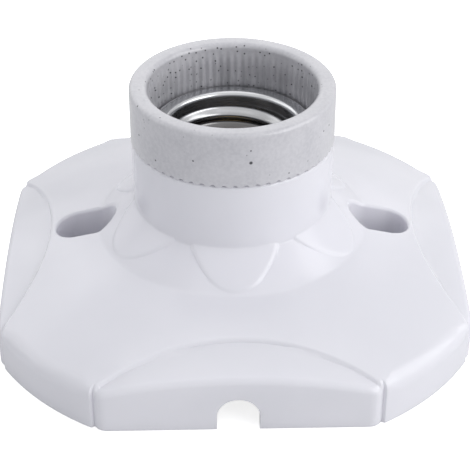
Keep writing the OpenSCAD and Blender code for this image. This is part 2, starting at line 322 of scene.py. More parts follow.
class Nodes(Graph):
    """The node tree of a new material round one Principled shader."""

    def __init__(self, name: str) -> None:
        """Makes the material, with a shader and an output.

        Args:
            name: the material's name.
        """
        self.material = bpy.data.materials.new(name)
        self.material.use_nodes = True
        super().__init__(self.material.node_tree)
        self.shader = self.tree.nodes["Principled BSDF"]
        self.place = self.tree.nodes.new("ShaderNodeTexCoord").outputs["Object"]

    def shade(self, **values: object) -> None:
        """Sets the shader's sockets, named with underscores for spaces."""
        for key, value in values.items():
            self.put(self.shader.inputs[key.replace("_", " ")], value)

    def noise(self, scale: float, detail: float = 2.0, where: Socket | None = None) -> Socket:
        """A smooth noise of the given number of cycles to a metre."""
        inputs = {"Vector": where or self.place, "Scale": scale, "Detail": detail}
        return self.add("TexNoise", inputs).outputs["Fac"]

    def stretched(self, x: float, y: float, z: float) -> Socket:
        """Object coordinates multiplied by a scale on each axis."""
        return self.add("Mapping", {"Vector": self.place, "Scale": (x, y, z)}).outputs["Vector"]

    def height(self) -> Socket:
        """The Z coordinate."""
        return self.add("SeparateXYZ", {"Vector": self.place}).outputs[2]

    def off_axis(self) -> Socket:
        """The distance from the Z axis."""
        flat = self.add("VectorMath", {0: self.place, 1: (1.0, 1.0, 0.0)}, operation="MULTIPLY")
        return self.add("VectorMath", {0: flat.outputs[0]}, operation="LENGTH").outputs["Value"]

    def ramp(self, value: object, low: float, high: float, out: tuple[float, float]) -> Socket:
        """Maps low..high to out[0]..out[1], clamped."""
        ends = {"From Min": low, "From Max": high, "To Min": out[0], "To Max": out[1]}
        return self.add("MapRange", {"Value": value, **ends}).outputs["Result"]

    def mix(self, share: Socket, a: object, b: object) -> Socket:
        """Mixes two colours."""
        return self.add("Mix", {0: share, 6: a, 7: b}, data_type="RGBA").outputs[2]

    def specks(self, scale: float, size: float, share: object) -> Socket:
        """Scattered round specks round the middles of a Voronoi pattern's cells.

        Args:
            scale: cells to a metre.
            size: radius of a speck, in cells.
            share: part of the cells that have one, those whose random number is below it.

        Returns:
            1 inside a speck and 0 outside.
        """
        cell = self.add("TexVoronoi", {"Vector": self.place, "Scale": scale})
        near = self.ramp(cell.outputs["Distance"], size * 0.6, size, (1.0, 0.0))
        part = self.add("SeparateColor", {"Color": cell.outputs["Color"]}).outputs[0]
        return self.math("MULTIPLY", near, self.math("LESS_THAN", part, share))

    def spot(self, place: Rgb, size: float) -> Socket:
        """One round spot.

        Args:
            place: its middle, in millimetres.
            size: its radius, in millimetres.

        Returns:
            1 inside the spot and 0 outside.
        """
        ends = {0: self.place, 1: tuple(v * MM for v in place)}
        far = self.add("VectorMath", ends, operation="DISTANCE").outputs["Value"]
        return self.ramp(far, 0.6 * size * MM, size * MM, (1.0, 0.0))

    def bump(self, height: Socket, strength: float, depth: float) -> None:
        """Gives the shader's normal a bump whose depth is in millimetres."""
        inputs = {"Height": height, "Strength": strength, "Distance": depth * MM}
        self.shade(Normal=self.add("Bump", inputs).outputs["Normal"])


@dataclass(frozen=True)
class GlossyMoulding:
    """White plastic from a polished mould: faint waviness, slight mottling and a little dust."""

    colour: Rgb = (0.82, 0.81, 0.865)
    shade: Rgb = (0.785, 0.778, 0.832)
    dust: Rgb = (0.40, 0.38, 0.37)
    roughness: tuple[float, float] = (0.13, 0.20)
    depth_of_light: float = 0.004

    def material(self) -> bpy.types.Material:
        """Mottles the colour, scatters the dust and waves the gloss.

        Returns:
            The material.
        """
        n = Nodes("glossy_moulding")
        mottle = n.ramp(n.noise(38.0, 3.0), 0.35, 0.65, (0.0, 1.0))
        base = n.mix(mottle, rgba(self.colour), rgba(self.shade))
        base = n.mix(n.specks(95.0, 0.022, 0.14), base, rgba(self.dust))
        n.shade(Base_Color=base, IOR=1.5, Subsurface_Weight=0.25,
                Subsurface_Radius=(1.0, 0.95, 0.95), Subsurface_Scale=self.depth_of_light,
                Roughness=n.ramp(n.noise(70.0, 4.0), 0.3, 0.7, self.roughness))
        n.bump(n.noise(120.0, 2.0), 0.12, 0.06)
        return n.material


@dataclass(frozen=True)
class GlazedPorcelain:
    """Grey fired porcelain under a thin glaze: mottled, specked with iron, painted shade in the
    bore.
    """

    colour: Rgb = (0.59, 0.582, 0.615)
    shade: Rgb = (0.53, 0.525, 0.56)
    grain: Rgb = (0.70, 0.69, 0.72)
    fleck: Rgb = (0.22, 0.22, 0.24)
    # This dark colour, and the two heights under the radii, paint shade in the bore, darker deeper
    # down.
    painted_bore_shade: Rgb = (0.27, 0.27, 0.29)
    iron: Rgb = (0.05, 0.05, 0.06)
    inside_r: float = 17.6
    outside_r: float = 18.3
    bore_shade_low: float = 41.0
    bore_shade_high: float = 48.0
    blots: tuple[tuple[Rgb, float], ...] = (
        ((3.04, -20.78, 43.67), 0.42), ((3.02, -20.78, 46.37), 0.20),
        ((-8.13, -19.36, 43.43), 0.22), ((-18.82, -9.31, 43.51), 0.26),
        ((10.61, -18.12, 39.66), 0.18))

    def material(self) -> bpy.types.Material:
        """Lays clouds, grain, flecks, the bore's painted shade and the iron specks over each other.

        Returns:
            The material.
        """
        n = Nodes("glazed_porcelain")
        cloud = n.ramp(n.noise(180.0, 6.0), 0.32, 0.68, (0.0, 1.0))
        base = n.mix(cloud, rgba(self.colour), rgba(self.shade))
        grain = n.ramp(n.noise(1500.0, 2.0), 0.35, 0.65, (0.0, 0.35))
        base = n.mix(grain, base, rgba(self.grain))
        fleck = n.math("MULTIPLY", n.specks(900.0, 0.22, 0.10), 0.5)
        base = n.mix(fleck, base, rgba(self.fleck))
        # Painted shade: inside the bore the colour darkens deeper down, broken into streaks, where
        # light hardly reaches; inside also sets where the iron specks crowd.
        inside = n.ramp(n.off_axis(), self.inside_r * MM, self.outside_r * MM, (1.0, 0.0))
        streak = n.ramp(n.noise(1.0, 3.0, n.stretched(420.0, 420.0, 40.0)), 0.35, 0.65, (0.3, 1.0))
        low = n.ramp(n.height(), self.bore_shade_low * MM, self.bore_shade_high * MM, (0.75, 0.15))
        painted_bore_shade = n.math("MULTIPLY", inside, n.math("MULTIPLY", streak, low))
        base = n.mix(painted_bore_shade, base, rgba(self.painted_bore_shade))
        iron = n.specks(900.0, 0.21, n.ramp(inside, 0.0, 1.0, (0.02, 0.8)))
        for place, size in self.blots:
            iron = n.math("MAXIMUM", iron, n.spot(place, size))
        n.shade(Base_Color=n.mix(iron, base, rgba(self.iron)), Coat_Weight=0.7,
                Coat_Roughness=0.07, Roughness=n.ramp(n.noise(420.0, 3.0), 0.3, 0.7, (0.3, 0.5)))
        pits = n.math("SUBTRACT", n.noise(650.0, 4.0), n.math("MULTIPLY", iron, 0.5))
        n.bump(pits, 0.3, 0.08)
        return n.material


@dataclass(frozen=True)
class RolledSheet:
    """Bright plated sheet: fine lines from rolling its thread, and painted shade lower down."""

    colour: Rgb = (0.66, 0.67, 0.69)
    # One dark colour serves the rolling lines' tint and the painted shade deep in the shell.
    dark_lines_and_shade: Rgb = (0.13, 0.125, 0.125)
    painted_shade_below: float = 32.5
    bright_above: float = 39.2
    roughness: tuple[float, float] = (0.14, 0.30)

    def material(self) -> bpy.types.Material:
        """Draws the lines and paints shade on the sheet, darker the deeper it lies.

        Returns:
            The material.
        """
        n = Nodes("rolled_sheet")
        lines = n.noise(1.0, 3.0, n.stretched(25.0, 25.0, 5200.0))
        tint = n.ramp(lines, 0.3, 0.7, (0.0, 0.35))
        # Painted shade: the sheet darkens lower down the shell, where light hardly reaches; stain
        # holds the lines' tint and this painted shade together.
        depth = n.ramp(n.height(), self.painted_shade_below * MM, self.bright_above * MM, (1.0, 0.0))
        stain = n.math("MAXIMUM", tint, depth)
        n.shade(Base_Color=n.mix(stain, rgba(self.colour), rgba(self.dark_lines_and_shade)), Metallic=1.0,
                Roughness=n.ramp(lines, 0.2, 0.8, self.roughness))
        n.bump(lines, 0.2, 0.03)
        return n.material


@dataclass(frozen=True)
class PlainBrass:
    """Pressed brass, slightly darker and duller where it has tarnished."""

    colour: Rgb = (0.78, 0.58, 0.27)
    tarnish: Rgb = (0.42, 0.29, 0.14)
    roughness: tuple[float, float] = (0.24, 0.45)

    def material(self) -> bpy.types.Material:
        """Spreads the tarnish in patches.

        Returns:
            The material.
        """
        n = Nodes("plain_brass")
        stain = n.ramp(n.noise(420.0, 5.0), 0.45, 0.75, (0.0, 0.6))
        n.shade(Base_Color=n.mix(stain, rgba(self.colour), rgba(self.tarnish)), Metallic=1.0,
                Roughness=n.ramp(stain, 0.0, 0.6, self.roughness))
        n.bump(n.noise(2600.0, 2.0, n.stretched(1.0, 0.15, 1.0)), 0.15, 0.02)
        return n.material


@dataclass(frozen=True)
class ZincPlate:
    """Bright zinc on steel: pale blue-grey with small cloudy patches."""

    colour: Rgb = (0.66, 0.69, 0.72)
    cloudy: Rgb = (0.52, 0.54, 0.56)
    roughness: tuple[float, float] = (0.26, 0.4)

    def material(self) -> bpy.types.Material:
        """Spreads the clouds.

        Returns:
            The material.
        """
        n = Nodes("zinc_plate")
        cloud = n.ramp(n.noise(900.0, 4.0), 0.35, 0.7, (0.0, 1.0))
        n.shade(Base_Color=n.mix(cloud, rgba(self.colour), rgba(self.cloudy)), Metallic=1.0,
                Roughness=n.ramp(cloud, 0.0, 1.0, self.roughness))
        n.bump(n.noise(3000.0, 2.0), 0.12, 0.015)
        return n.material


def dress(piece: bpy.types.Object, material: bpy.types.Material) -> None:
    """Gives every material slot of a piece one finish.

    Args:
        piece: a piece of the scene or a CAD node.
        material: the finish.
    """
    if not piece.data.materials:
        piece.data.materials.append(material)
    for slot in piece.material_slots:
        slot.link = "OBJECT"
        slot.material = material


# The housing: one moulding with a dome, side panels, petals, neck, slots and hollow.


@dataclass
class Housing:
    """The moulded base with its side panels, conical foot, petals, neck, slots and hollow."""

    half_width: float = 48.2
    round_r: float = 55.15
    dome_r: float = 149.6
    wall: float = 2.2
    corner_edge: float = 2.5
    edge_ease: float = 0.07
    skirt_round: float = 0.3
    foot_r: float = 28.6
    foot_low: float = 17.45
    foot_top: float = 23.35
    foot_fillet: float = 0.6
    foot_blend: float = 0.25
    foot_sink: float = 0.02
    neck_r: float = 20.85
    neck_top: float = 38.15
    neck_lip: float = 0.75
    bore_r: float = 19.05
    bore_round: float = 0.3
    panels: int = 4
    panel_edge: float = 1.2
    panel_arc_r: float = 51.3
    panel_reach: float = 38.45
    panel_half: float = 28.05
    panel_step: float = 0.8
    panel_shoulder: float = 0.7
    panel_lead: float = 0.15
    panel_lift: float = 0.6
    panel_corner: float = 2.5
    petals: int = 6
    petal_reach: float = 28.0
    petal_long: float = 18.0
    petal_wide: float = 10.3
    petal_rise: float = 0.6
    petal_tip_rise: float = 0.25
    petal_shoulder: float = 0.8
    slot_centre: float = 31.2
    slot_play: float = 3.9
    slot_w: float = 4.5
    pocket_w: float = 9.0
    pocket_round: float = 0.8
    pocket_floor: float = 2.2
    sleeve_wall: float = 1.5
    notch_w: float = 8.3
    notch_h: float = 7.4
    roof_round: float = 1.6
    tube_low: float = 10.0
    tube_round: float = 0.2
    ledge_low: float = 12.0
    ledge_high: float = 14.0
    ledge_r: float = 13.8
    rib_t: float = 1.4
    rib_reach: float = 50.0
    columns: int = 560
    groove_columns: int = 13
    groove_spread: float = 0.035
    groove_inset: tuple[float, float] = (0.2, 1.6)
    ease_inset: tuple[float, float] = (0.15, 1.65)

    def crown(self, r: np.ndarray) -> np.ndarray:
        """Height of the dome: a sphere of radius dome_r whose surface passes the foot's edge.

        Args:
            r: distances from the axis.

        Returns:
            The height at each.
        """
        drop = math.sqrt(self.dome_r**2 - self.foot_r**2)
        near = np.minimum(r, 0.9 * self.dome_r)
        return self.foot_low - drop + np.sqrt(self.dome_r**2 - near**2)

    def fold(self, angle: np.ndarray, count: int) -> np.ndarray:
        """An angle folded into the nearest of count equal sectors, first one on -Y."""
        sector = FULL_TURN / count
        return (angle + math.pi / 2 + sector / 2) % sector - sector / 2

    def arc_entry(self, fold: np.ndarray) -> np.ndarray:
        """Distance from the axis at which a ray enters a side panel's arc circle.

        Args:
            fold: the ray's angle from the middle of its panel.

        Returns:
            The distance, or a large one where the ray passes the circle.
        """
        far = self.panel_reach + self.panel_arc_r
        inside = self.panel_arc_r**2 - (far * np.sin(fold)) ** 2
        near = far * np.cos(fold) - np.sqrt(np.maximum(inside, 0))
        return np.where(inside > 0, near, OUT_OF_REACH)

    def corner_angle(self, inset: tuple[float, float]) -> float:
        """Angle from a panel's middle to a point set in from the corner of its block."""
        return math.atan2(self.panel_half - inset[0], self.half_width - inset[1])

    def outline(self, angle: np.ndarray) -> np.ndarray:
        """Plan radius of the base.

        Outside the panels it is the round edge, cut by the panel's arc circle. In a panel it is
        where the ray leaves a block with straight sides and round corners. The panel ends
        where its corner reaches the arc circle, which leaves the upright groove.

        Args:
            angle: angles round the axis.

        Returns:
            The radius at each.
        """
        fold = self.fold(angle, self.panels)
        c, s = np.cos(fold), np.abs(np.sin(fold))
        entry = self.arc_entry(fold)
        straight = self.half_width / c
        x0, y0 = self.panel_half - self.panel_corner, self.half_width - self.panel_corner
        along = x0 * s + y0 * c
        depth = self.panel_corner**2 - (x0**2 + y0**2 - along**2)
        corner = along + np.sqrt(np.maximum(depth, 0))
        side = self.panel_half / np.maximum(s, 1e-6)
        block = np.where(straight * s <= x0, straight, np.where(depth > 0, corner, side))
        block = np.minimum(block, side)
        return np.where(block > entry, block, np.minimum(self.round_r, entry))

    def edge_round(self, angle: np.ndarray) -> np.ndarray:
        """Radius of the top's outer edge: panel_edge on the panels, corner_edge between them.

        From a groove it grows as 3 s^2 - 2 s^3, where s goes from 0 to 1 over edge_ease radians.

        Args:
            angle: angles round the axis.

        Returns:
            The radius at each.
        """
        past = np.abs(self.fold(angle, self.panels)) - self.corner_angle(self.ease_inset)
        s = np.clip(past / self.edge_ease, 0, 1)
        return self.panel_edge + (self.corner_edge - self.panel_edge) * s * s * (3 - 2 * s)

    def panel_drop(self, r: np.ndarray, angle: np.ndarray) -> np.ndarray:
        """How far a side panel lies under the dome.

        Past its arc it drops by panel_step over a quarter-round shoulder, and from there it is
        lifted evenly, by panel_lift at its outer edge.

        Args:
            r: distances from the axis.
            angle: angles round it.

        Returns:
            The drop, 0 outside the panels.
        """
        fold = self.fold(angle, self.panels)
        far = self.panel_reach + self.panel_arc_r
        past = self.panel_arc_r - np.hypot(r * np.sin(fold), far - r * np.cos(fold))
        q = np.clip(past / self.panel_shoulder + self.panel_lead, 0, 1)
        lift = self.panel_lift * np.maximum(past, 0) / (self.half_width - self.panel_reach)
        return self.panel_step * (1 - np.sqrt(1 - q**2)) - lift

    def petal_lift(self, r: np.ndarray, angle: np.ndarray) -> np.ndarray:
        """How far a petal rises over the conical foot.

        Inside the petal's ellipse it is petal_tip_rise at foot_r and grows to petal_rise at the
        neck, over a quarter-round shoulder petal_shoulder wide.

        Args:
            r: distances from the axis.
            angle: angles round it.

        Returns:
            The rise, 0 outside the petals.
        """
        fold = self.fold(angle, self.petals)
        along = (r * np.cos(fold) - self.petal_reach + self.petal_long) / self.petal_long
        across = r * np.sin(fold) / self.petal_wide
        size = np.maximum(np.hypot(along, across), 1e-6)
        steepness = np.hypot(along / self.petal_long, across / self.petal_wide) / size
        q = np.clip((1 - size) / np.maximum(steepness, 1e-6) / self.petal_shoulder, 0, 1)
        share = np.clip((self.foot_r - r) / (self.foot_r - self.neck_r), 0, 1)
        rise = self.petal_tip_rise + (self.petal_rise - self.petal_tip_rise) * share
        return rise * np.sqrt(1 - (1 - q) ** 2)

    def height(self, r: np.ndarray, angle: np.ndarray) -> np.ndarray:
        """Height of the top surface, before its outer edge is rounded.

        It is the dome z less the panel's drop, then the higher of that and the foot's cone k,
        blended as (z + k + sqrt((z - k)^2 + b^2)) / 2, and the petal's rise on top.

        Args:
            r: distances from the axis.
            angle: angles round it.

        Returns:
            The height at each point.
        """
        z = self.crown(r) - self.panel_drop(r, angle)
        cone = self.foot_low + (self.foot_r - r) * math.tan(self.foot_tilt())
        higher = 0.5 * (z + cone + np.sqrt((z - cone) ** 2 + self.foot_blend**2)) - self.foot_sink
        return np.where(r < self.foot_r + 4, higher, z) + self.petal_lift(r, angle)

    def height_over(self, plan: np.ndarray) -> np.ndarray:
        """Height of the top surface over (x, y) points."""
        x, y = plan.T
        return self.height(np.hypot(x, y), np.arctan2(y, x))

    def petal_edge(self, angle: np.ndarray) -> np.ndarray:
        """Plan radius at which a ray leaves a petal's ellipse, by the quadratic formula.

        Args:
            angle: angles round the axis.

        Returns:
            The radius at each.
        """
        fold = self.fold(angle, self.petals)
        c, s = np.cos(fold), np.sin(fold)
        middle = self.petal_reach - self.petal_long
        a = (c / self.petal_long) ** 2 + (s / self.petal_wide) ** 2
        b = -2 * middle * c / self.petal_long**2
        d = (middle / self.petal_long) ** 2 - 1
        return (-b + np.sqrt(b * b - 4 * a * d)) / (2 * a)

    def angles(self) -> np.ndarray:
        """Angles round the axis, closer together at the eight grooves.

        Returns:
            The angles in rising order.
        """
        even = np.linspace(0, FULL_TURN, self.columns, endpoint=False)
        groove = self.corner_angle(self.groove_inset)
        near = np.linspace(-self.groove_spread, self.groove_spread, self.groove_columns)
        extra = [(-math.pi / 2 + k * math.pi / 2 + side * groove + near) % FULL_TURN
                 for k in range(self.panels) for side in (-1, 1)]
        return np.unique(np.round(np.concatenate([even, *extra]), 5))

    def foot_tilt(self) -> float:
        """Angle of the conical foot's slope below the horizontal."""
        return math.atan2(self.foot_top - self.foot_low, self.foot_r - self.neck_r)

    def top_rows(self, angle: np.ndarray) -> list[Row]:
        """Rows of the top surface, from the neck's foot out to the start of the edge rounding.

        They stand closer together at the petals' edges, the foot's edge and the panels' arcs.

        Args:
            angle: angles round the axis.

        Returns:
            Radius and height of each row at every angle.
        """
        flat = 0 * angle
        edge, rim = self.outline(angle), self.edge_round(angle)
        start = self.neck_r + self.foot_fillet * (1 - math.sin(self.foot_tilt()))
        petal = np.maximum(self.petal_edge(angle), start + 1.0)
        panel = np.minimum(self.arc_entry(self.fold(angle, self.panels)), edge - rim - 0.9)
        stops = [(petal - 0.85, 9), (petal + 0.05, 7),
                 (np.maximum(self.foot_r - 0.45 + flat, petal + 0.1), 5),
                 (self.foot_r + 0.45 + flat, 5), (panel - 0.3, 12), (panel + 0.65, 7),
                 (edge - rim, 9)]
        radii = [start + flat]
        for stop, count in stops:
            last = radii[-1]
            radii += [last + (stop - last) * k / count for k in range(1, count + 1)]
        return [(r, self.height(r, angle)) for r in radii]

    def edge_rows(self, angle: np.ndarray) -> list[Row]:
        """Rows round the top's outer edge, down the skirt and in under it.

        The edge is r = R - e (1 - sin t) and z = h(r) - e (1 - cos t), where R is the outline,
        e the edge's radius and h the top's height.

        Args:
            angle: angles round the axis.

        Returns:
            Radius and height of each row.
        """
        edge, rim, small = self.outline(angle), self.edge_round(angle), self.skirt_round
        rows: list[Row] = []
        for t in np.radians(range(10, 91, 10)):
            r = edge - rim * (1 - math.sin(t))
            rows.append((r, self.height(r, angle) - rim * (1 - math.cos(t))))
        low = rows[-1][1]
        rows += [(edge, low - 0.3), (edge, low / 2), (edge, 2 * small), (edge, small)]
        return rows + rounded(edge, 0.0, -small, small, (30, 60, 90))

    def hollow_rows(self, angle: np.ndarray) -> list[Row]:
        """Rows up the hollow's wall, round into its roof and in to the neck's tube.

        The roof runs a wall's thickness under the dome.

        Args:
            angle: angles round the axis.

        Returns:
            Radius and height of each row.
        """
        widest = np.maximum(np.abs(np.cos(angle)), np.abs(np.sin(angle)))
        hollow = np.minimum(self.round_r - self.wall, (self.half_width - self.wall) / widest)
        bend, small = self.roof_round, self.skirt_round
        rows: list[Row] = [(hollow + small, 0.0), (hollow, small), (hollow, 0.7),
                           (hollow, self.crown(hollow) - self.wall - bend - 0.8)]
        for t in np.radians(range(18, 91, 18)):
            r = hollow - bend * (1 - math.cos(t))
            rows.append((r, self.crown(r) - self.wall - bend * (1 - math.sin(t))))
        for k in range(1, 9):
            r = hollow - bend + (self.neck_r - hollow + bend) * k / 8
            rows.append((r, self.crown(r) - self.wall))
        return rows

    def tube_rows(self) -> list[Row]:
        """Rows under the neck's tube, round its ledge and up the bore.

        Returns:
            Radius and height of each row.
        """
        low, small, bore, ledge = self.tube_low, self.tube_round, self.bore_r, self.ledge_r
        rows = [(self.neck_r, low + small), (self.neck_r - small, low), (bore + small, low),
                (bore, low + small), (bore, self.ledge_low), (ledge, self.ledge_low),
                (ledge, self.ledge_high), (bore, self.ledge_high), (bore, self.ledge_high + 0.4),
                (bore, self.neck_top - 2 * self.bore_round)]
        return rows + rounded(bore, self.neck_top, self.bore_round, -self.bore_round, (0, 45, 90))

    def neck_rows(self, start: np.ndarray) -> list[Row]:
        """Rows over the neck's lip, down its outside and round the fillet at its foot.

        The fillet is r = neck_r + f (1 - cos t) and z = foot - f sin t.

        Args:
            start: height at which the top surface starts, at every angle.

        Returns:
            Radius and height of each row.
        """
        lip, fillet, tilt, neck = self.neck_lip, self.foot_fillet, self.foot_tilt(), self.neck_r
        foot = start + fillet * math.cos(tilt)
        rows = rounded(neck, self.neck_top, -lip, -lip, range(90, -1, -18))
        rows += [(neck, self.neck_top - lip - 0.4), (neck, (self.neck_top + foot) / 2),
                 (neck, foot + 0.3)]
        return rows + [(neck + fillet * (1 - math.cos(t)), foot - fillet * math.sin(t))
                       for t in np.linspace(0, math.pi / 2 - tilt, 6)[:-1]]

    def section(self, angle: np.ndarray) -> np.ndarray:
        """The whole closed section, from the neck's foot over the top and back inside.

        Args:
            angle: angles round the axis.

        Returns:
            The points by row and angle.
        """
        top = self.top_rows(angle)
        rows = [*top, *self.edge_rows(angle), *self.hollow_rows(angle), *self.tube_rows(),
                *self.neck_rows(top[0][1])]
        return revolved(rows, angle)

    def slot_outline(self, width: float) -> tuple[np.ndarray, np.ndarray]:
        """Plan of a round-ended slot on +X.

        Args:
            width: the slot's width.

        Returns:
            The plan's points, and the outward direction at each.
        """
        half = self.slot_play / 2
        middle = np.repeat([self.slot_centre + half, self.slot_centre - half], 41)
        turn = np.radians(np.concatenate([np.linspace(-90, 90, 41), np.linspace(90, 270, 41)]))
        out = np.stack([np.cos(turn), np.sin(turn)], -1)
        return out * width / 2 + np.stack([middle, 0 * middle], -1), out

    def pocket(self) -> Shell:
        """Cutter of a pocket with a round upper edge.

        Up to the edge it is an upright slot. From there its outline grows by e (1 - cos t)
        while it stands e (sin t1 - sin t) under the top surface, as t goes from 0 to t1, and
        then it runs out of the surface along its last slope.

        Returns:
            The cutter.
        """
        plan, out = self.slot_outline(self.pocket_w)
        e, last, past, above = self.pocket_round, math.radians(72), 0.35, 30.0
        rows = [(plan, self.pocket_floor + 0 * plan[:, 0])]
        for t in np.linspace(0, last, 9):
            p = plan + out * e * (1 - math.cos(t))
            rows.append((p, self.height_over(p) - e * (math.sin(last) - math.sin(t))))
        p = p + out * past
        rows += [(p, self.height_over(p) + past / math.tan(last)), (p, above + 0 * p[:, 0])]
        return capped_shell(np.stack([np.column_stack(row) for row in rows]))

    def upright(self, plan: np.ndarray, low: float) -> Shell:
        """A wall on a plan, from a height up into the middle of the dome's thickness."""
        return prism(plan, low, self.crown(np.hypot(*plan.T)) - self.wall / 2)

    def ribs(self) -> list[Shell]:
        """Four upright ribs from the tube to where the hollow's roof comes down to them.

        Returns:
            One wall for each rib.
        """
        inner, outer, half = self.neck_r - 1.0, self.rib_reach, self.rib_t / 2
        strip = np.array([[inner, -half], [outer, -half], [outer, half], [inner, half]])
        turns = [(math.cos(t), math.sin(t)) for t in np.radians([45, 135, 225, 315])]
        return [self.upright(strip @ np.array([[c, s], [-s, c]]), self.tube_low) for c, s in turns]

    def notch(self) -> Shell:
        """Cutter of the cable notch: a doorway with a round top, pushed in along +Y.

        Returns:
            The cutter.
        """
        half = self.notch_w / 2
        top = arc((0, self.notch_h - half), half, np.linspace(0, 180, 33))
        door = prism(np.vstack([[[half, -1.0]], top, [[-half, -1.0]]]), 0.0, 2 * self.wall)
        x, y, z = door.points.T
        points = np.stack([x, z - self.half_width - 1.0, y], -1)
        return Shell(points, door.quads, door.ends).outward()

    def build(self) -> bpy.types.Object:
        """Makes the main shell, joins its sleeves and ribs with it, and cuts its openings.

        Returns:
            The housing.
        """
        body = mesh_object("housing", [ring_shell(self.section(self.angles()))])
        both = (np.diag([1.0, 1.0, 1.0]), np.diag([-1.0, -1.0, 1.0]))
        sleeve_w = self.pocket_w + 2 * self.sleeve_wall
        sleeve = self.upright(self.slot_outline(sleeve_w)[0], 0.0)
        hole = prism(self.slot_outline(self.slot_w)[0], -1.0, self.pocket_floor + 1.0)
        pocket = self.pocket()
        combine(body, [sleeve.turned(turn) for turn in both], Boolean.JOIN)
        combine(body, self.ribs(), Boolean.JOIN)
        combine(body, [pocket.turned(turn) for turn in both], Boolean.CUT)
        combine(body, [*(hole.turned(turn) for turn in both), self.notch()], Boolean.CUT)
        return body


# The porcelain ring, pressed on the neck.


@dataclass
class PorcelainRing:
    """The ceramic ring: fluted inside, scalloped along its lower outer edge."""

    outer_r: float = 21.0
    low: float = 38.2
    top: float = 49.9
    rim_round: float = 0.9
    mouth_round: float = 1.1
    bore_r: float = 17.3
    flutes: int = 70
    flute_depth: float = 0.35
    flute_fade: tuple[tuple[float, float], ...] = (
        (48.5, 0.0), (47.9, 0.12), (47.2, 0.4), (46.4, 0.75), (45.4, 1.0), (43.0, 1.0), (40.3, 1.0))
    flute_low: float = 40.0
    bore_middle: float = 35.0
    scallops: int = 60
    scallop_h: float = 0.42
    scallop_depth: float = 1.6
    spigot_r: float = 19.0
    spigot_low: float = 31.15
    columns: int = 1260

    def build(self) -> bpy.types.Object:
        """Turns the section about the axis, with ribs inside and scallops outside.

        The bore's radius is bore_r less half the flute depth times (1 - cos(flutes a)), faded
        out over the rim. The lower outer edge rises by scallop_h times the square root of
        cos(scallops a), where that is positive, in the outer scallop_depth.

        Returns:
            The ring.
        """
        a = np.linspace(0, FULL_TURN, self.columns, endpoint=False)
        rib = 0.5 * self.flute_depth * (1 - np.cos(self.flutes * a))
        arch = self.scallop_h * np.sqrt(np.maximum(np.cos(self.scallops * a), 0))
        outer, bore, rim, mouth = self.outer_r, self.bore_r, self.rim_round, self.mouth_round
        inner = outer - self.scallop_depth
        rows = [(outer, self.low + arch), (outer, self.low + self.scallop_h + 0.4),
                (outer, self.top - rim - 0.4)]
        rows += rounded(outer, self.top, -rim, -rim, np.linspace(0, 90, 8))
        rows += rounded(bore, self.top, mouth, -mouth, np.linspace(90, 0, 8))
        rows += [(bore - share * rib, z) for z, share in self.flute_fade]
        rows += [(bore, self.flute_low), (bore, self.bore_middle), (bore, self.spigot_low),
                 (self.spigot_r, self.spigot_low), (self.spigot_r, self.low),
                 (inner - 0.05, self.low), (inner, self.low + arch)]
        return mesh_object("porcelain_rim", [ring_shell(revolved(rows, a))], 38.0)


# The screw shell, rolled from thin sheet.


@dataclass
class ScrewShell:
    """The rolled shell with its lamp thread, flange and floor."""

    crest_r: float = 13.5
    depth: float = 1.3
    pitch: float = 3.629
    fade: float = 1.2
    thread_above_floor: float = 2.2
    thread_below_top: float = 3.8
    lip_round: float = 1.0
    floor_round: float = 0.9
    outer_round: float = 1.2
    sheet: float = 0.4
    flange_top: float = 40.4
    flange_r: float = 16.1
    flange_flat_r: float = 15.2
    floor_top: float = 20.4
    hole_r: float = 9.2
    columns: int = 200
    steps: int = 104

    def roll(self, z: np.ndarray, a: np.ndarray) -> np.ndarray:
        """Inner radius: crest_r less half the depth times (1 - cos(2 pi z / pitch - a)).

        Args:
            z: a height.
            a: angles round the axis.

        Returns:
            The radius at each angle, with the depth faded out at both ends of the thread.
        """
        low = self.floor_top + self.thread_above_floor
        high = self.flange_top - self.thread_below_top + self.fade
        share = np.clip(np.minimum(z - low, high - z) / self.fade, 0, 1)
        share = share * share * (3 - 2 * share)
        return self.crest_r - self.depth * share * (1 - np.cos(FULL_TURN * z / self.pitch - a)) / 2

    def build(self) -> bpy.types.Object:
        """Carries the sheet's closed section round, down the inside and up the outside.

        Returns:
            The shell.
        """
        a = np.linspace(0, FULL_TURN, self.columns, endpoint=False)
        top, t, crest = self.flange_top, self.sheet, self.crest_r
        floor, hole = self.floor_top, self.hole_r
        lip, inner, outer = self.lip_round, self.floor_round, self.outer_round
        heights = np.linspace(top - 1.2, floor + 1.4, self.steps)
        rows = [(self.flange_r, top - 0.1), (self.flange_r - 0.1, top), (self.flange_flat_r, top)]
        rows += rounded(crest, top, lip, -lip, np.linspace(90, 0, 8))
        rows += [(self.roll(z, a), z) for z in heights]
        rows += rounded(crest, floor + t, -inner, inner, np.linspace(10, 90, 6))
        rows += [(hole + 0.1, floor + t), (hole, floor + t - 0.1), (hole, floor),
                 (crest - 1.0, floor)]
        rows += rounded(crest + t, floor, -outer, outer, np.linspace(70, 0, 5))
        rows += [(self.roll(z, a) + t, z) for z in heights[::-2]]
        rows += [(crest + t, top - 0.9), (crest + t + 0.7, top - t), (self.flange_r, top - t)]
        return mesh_object("threaded_shell", [ring_shell(revolved(rows, a))], 40.0)


# The studio: camera, lights, floor and background.


@dataclass(frozen=True)
class Softbox:
    """A rectangular studio light."""

    name: str
    place: tuple[float, float, float]
    size: tuple[float, float]
    power: float
    aim: tuple[float, float, float] = (0.0, 0.0, 0.02)

    def build(self) -> bpy.types.Object:
        """Adds the light, turned to face its aim.

        Returns:
            The light's object.
        """
        lamp = bpy.data.lights.new(self.name, "AREA")
        lamp.shape = "RECTANGLE"
        lamp.size, lamp.size_y = self.size
        lamp.energy = self.power
        body = bpy.data.objects.new(self.name, lamp)
        body.location = self.place
        away = Vector(self.aim) - Vector(self.place)
        body.rotation_euler = away.to_track_quat("-Z", "Y").to_euler()
        bpy.context.scene.collection.objects.link(body)
        return body


